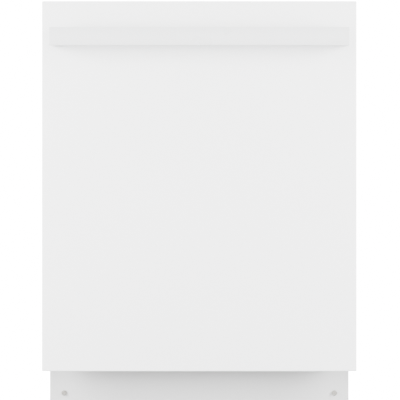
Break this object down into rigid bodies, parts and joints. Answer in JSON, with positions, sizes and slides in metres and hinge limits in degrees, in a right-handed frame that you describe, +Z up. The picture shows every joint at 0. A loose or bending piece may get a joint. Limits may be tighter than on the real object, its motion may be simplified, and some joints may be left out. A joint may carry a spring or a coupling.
{
  "type": "built-in dishwasher",
  "caption": "Built-in dishwasher with a plain pull-down door, full-width flat bar handle, hidden top-edge controls, recessed toe panel, steel tub, two sliding racks and spray arms",
  "frame": {"origin": "on the floor, at the centre of the outline seen from above", "axes": "+Z up, the door faces -Y, +X is to the right seen from the front"},
  "size_m": [0.603, 0.654, 0.85],
  "materials": {
    "door_steel": "gloss white enamel",
    "handle_paint": "gloss white enamel",
    "kick_paint": "satin white enamel",
    "liner_plastic": "fine satin",
    "console_plastic": "satin white",
    "button_plastic": "gloss light grey",
    "white_plastic": "satin",
    "grey_plastic": "satin",
    "dark_plastic": "satin black",
    "blue_plastic": "satin blue",
    "tub_steel": "fine brushed",
    "galvanised": "galvanised sheet",
    "zinc": "bright zinc plate",
    "spring_steel": "oiled",
    "heater_steel": "heat-tinted",
    "rubber": "matt",
    "hose": "matt grey",
    "blanket": "felted",
    "insulation": "felted",
    "nylon": "nylon-coated steel wire",
    "mesh": "etched screen"
  },
  "bodies": {
    "cabinet": {"tub": "tub_steel", "tub_insulation": "blanket", "door_gasket": "rubber", "heater_element": "heater_steel", "base_frame": "galvanised", "kick_plate": "kick_paint", "kick_screws": "zinc", "mounting_brackets": "zinc", "latch_strike": "zinc", "hinge_brackets": "zinc", "spring_anchors": "zinc", "balance_cables": "spring_steel", "door_springs": "spring_steel", "sump": "dark_plastic", "filter_plate": "mesh", "wash_pump": "dark_plastic", "drain_pump": "white_plastic", "drain_outlet": "grey_plastic", "water_hoses": "hose", "inlet_valve": "white_plastic", "junction_box": "galvanised", "water_riser": "grey_plastic"},
    "door": {"door_panel": "door_steel", "door_liner": "liner_plastic", "door_insulation": "insulation", "control_console": "console_plastic", "handle": "handle_paint", "bottom_seal": "rubber", "dispenser_housing": "grey_plastic", "door_vent": "grey_plastic", "hinge_arms": "zinc", "latch_housing": "dark_plastic", "arm_screws": "zinc"},
    "springs_and_cables": {"spring_links": "dark_plastic"},
    "lid": {"dispenser_lid": "white_plastic"},
    "cap": {"rinse_aid_cap": "blue_plastic"},
    "hook": {"latch_hook": "zinc"},
    "filter": {"filter_cylinder": "grey_plastic"},
    "float": {"water_float": "white_plastic"},
    "lower_arm": {"lower_spray_arm": "grey_plastic"},
    "middle_arm": {"middle_spray_arm": "grey_plastic"},
    "top_arm": {"top_spray_arm": "grey_plastic"},
    "lower_rack": {"lower_rack": "nylon"},
    "front_wheels": {"lower_front_wheels": "grey_plastic"},
    "rear_wheels": {"lower_rear_wheels": "grey_plastic"},
    "fold_tines": {"lower_fold_tines": "nylon"},
    "cutlery": {"silverware_basket": "grey_plastic"},
    "upper_rack": {"upper_rack": "nylon", "upper_rails": "tub_steel"},
    "front_rollers": {"upper_front_rollers": "grey_plastic"},
    "rear_rollers": {"upper_rear_rollers": "grey_plastic"},
    "cup_shelf": {"cup_shelf": "nylon"},
    "front_left_foot": {"front_left_leg": "dark_plastic"},
    "front_right_foot": {"front_right_leg": "dark_plastic"},
    "rear_left_foot": {"rear_left_leg": "dark_plastic"},
    "rear_right_foot": {"rear_right_leg": "dark_plastic"},
    "cycle_key": {"cycle_button": "button_plastic"},
    "dry_key": {"dry_button": "button_plastic"},
    "lock_key": {"lock_button": "button_plastic"},
    "start_key": {"start_button": "button_plastic"}
  },
  "joints": [
    {"name": "door_hinge", "type": "hinge", "parent": "cabinet", "child": "door", "pos_m": [0, -0.258, 0.185], "axis": [1, 0, 0], "range_deg": [0, 90], "stiffness_Nm_per_rad": 22, "springref_deg": -14.32},
    {"name": "spring_pull", "type": "slide", "parent": "cabinet", "child": "springs_and_cables", "axis": [0, -1, 0], "range_m": [0, 0.0708], "deforming": ["door_springs", "balance_cables"]},
    {"name": "lower_rack_slide", "type": "slide", "parent": "cabinet", "child": "lower_rack", "axis": [0, -1, 0], "range_m": [0, 0.5]},
    {"name": "front_wheels_roll", "type": "hinge", "parent": "lower_rack", "child": "front_wheels", "pos_m": [0, -0.11, 0.2395], "axis": [1, 0, 0], "range_deg": [0, 1910]},
    {"name": "rear_wheels_roll", "type": "hinge", "parent": "lower_rack", "child": "rear_wheels", "pos_m": [0, 0.218, 0.2395], "axis": [1, 0, 0], "range_deg": [0, 1910]},
    {"name": "tines_fold", "type": "hinge", "parent": "lower_rack", "child": "fold_tines", "pos_m": [0.02, 0, 0.2684], "axis": [0, 1, 0], "range_deg": [0, 80]},
    {"name": "basket_lift", "type": "slide", "parent": "lower_rack", "child": "cutlery", "axis": [0, 0, 1], "range_m": [0, 0.09]},
    {"name": "upper_rack_slide", "type": "slide", "parent": "cabinet", "child": "upper_rack", "axis": [0, -1, 0], "range_m": [0, 0.386]},
    {"name": "front_rollers_turn", "type": "hinge", "parent": "cabinet", "child": "front_rollers", "pos_m": [0, -0.205, 0.64], "axis": [1, 0, 0], "range_deg": [0, 2170]},
    {"name": "rear_rollers_turn", "type": "hinge", "parent": "cabinet", "child": "rear_rollers", "pos_m": [0, -0.15, 0.64], "axis": [1, 0, 0], "range_deg": [0, 2170]},
    {"name": "cup_shelf_fold", "type": "hinge", "parent": "upper_rack", "child": "cup_shelf", "pos_m": [0.2412, 0, 0.672], "axis": [0, 1, 0], "range_deg": [0, 80]},
    {"name": "lower_arm_spin", "type": "hinge", "parent": "cabinet", "child": "lower_arm", "pos_m": [0, 0.02, 0.241], "axis": [0, 0, 1], "continuous": true},
    {"name": "middle_arm_spin", "type": "hinge", "parent": "upper_rack", "child": "middle_arm", "pos_m": [0, 0.02, 0.535], "axis": [0, 0, 1], "continuous": true},
    {"name": "top_arm_spin", "type": "hinge", "parent": "cabinet", "child": "top_arm", "pos_m": [0, 0.02, 0.806], "axis": [0, 0, 1], "continuous": true},
    {"name": "filter_twist", "type": "hinge", "parent": "cabinet", "child": "filter", "pos_m": [0.058, 0.064, 0.21], "axis": [0, 0, 1], "range_deg": [0, 60]},
    {"name": "float_lift", "type": "slide", "parent": "cabinet", "child": "float", "axis": [0, 0, 1], "range_m": [0, 0.008]},
    {"name": "lid_slide", "type": "slide", "parent": "door", "child": "lid", "axis": [0, 0, -1], "range_m": [0, 0.056]},
    {"name": "cap_turn", "type": "hinge", "parent": "door", "child": "cap", "pos_m": [0, -0.22, 0.64], "axis": [0, 1, 0], "range_deg": [0, 90]},
    {"name": "latch_turn", "type": "hinge", "parent": "door", "child": "hook", "pos_m": [0, -0.253, 0.806], "axis": [1, 0, 0], "range_deg": [0, 20]},
    {"name": "cycle_press", "type": "slide", "parent": "door", "child": "cycle_key", "axis": [0, 0, -1], "range_m": [0, 0.001], "stiffness_N_per_m": 900, "springref_m": -0.0005},
    {"name": "dry_press", "type": "slide", "parent": "door", "child": "dry_key", "axis": [0, 0, -1], "range_m": [0, 0.001], "stiffness_N_per_m": 900, "springref_m": -0.0005},
    {"name": "lock_press", "type": "slide", "parent": "door", "child": "lock_key", "axis": [0, 0, -1], "range_m": [0, 0.001], "stiffness_N_per_m": 900, "springref_m": -0.0005},
    {"name": "start_press", "type": "slide", "parent": "door", "child": "start_key", "axis": [0, 0, -1], "range_m": [0, 0.001], "stiffness_N_per_m": 900, "springref_m": -0.0005},
    {"name": "front_left_screw", "type": "slide", "parent": "cabinet", "child": "front_left_foot", "axis": [0, 0, -1], "range_m": [0, 0.03]},
    {"name": "front_right_screw", "type": "slide", "parent": "cabinet", "child": "front_right_foot", "axis": [0, 0, -1], "range_m": [0, 0.03]},
    {"name": "rear_left_screw", "type": "slide", "parent": "cabinet", "child": "rear_left_foot", "axis": [0, 0, -1], "range_m": [0, 0.03]},
    {"name": "rear_right_screw", "type": "slide", "parent": "cabinet", "child": "rear_right_foot", "axis": [0, 0, -1], "range_m": [0, 0.03]}
  ],
  "couplings": [
    {"joint": "spring_pull", "follows": "door_hinge", "m_per_rad": 0.045},
    {"joint": "lower_rack_slide", "follows": "door_hinge", "m_per_rad": 0.095},
    {"joint": "front_wheels_roll", "follows": "door_hinge", "ratio": 6.3333},
    {"joint": "rear_wheels_roll", "follows": "door_hinge", "ratio": 6.3333},
    {"joint": "upper_rack_slide", "follows": "door_hinge", "m_per_rad": 0.2451},
    {"joint": "front_rollers_turn", "follows": "door_hinge", "ratio": 24.029},
    {"joint": "rear_rollers_turn", "follows": "door_hinge", "ratio": 24.029}
  ]
}
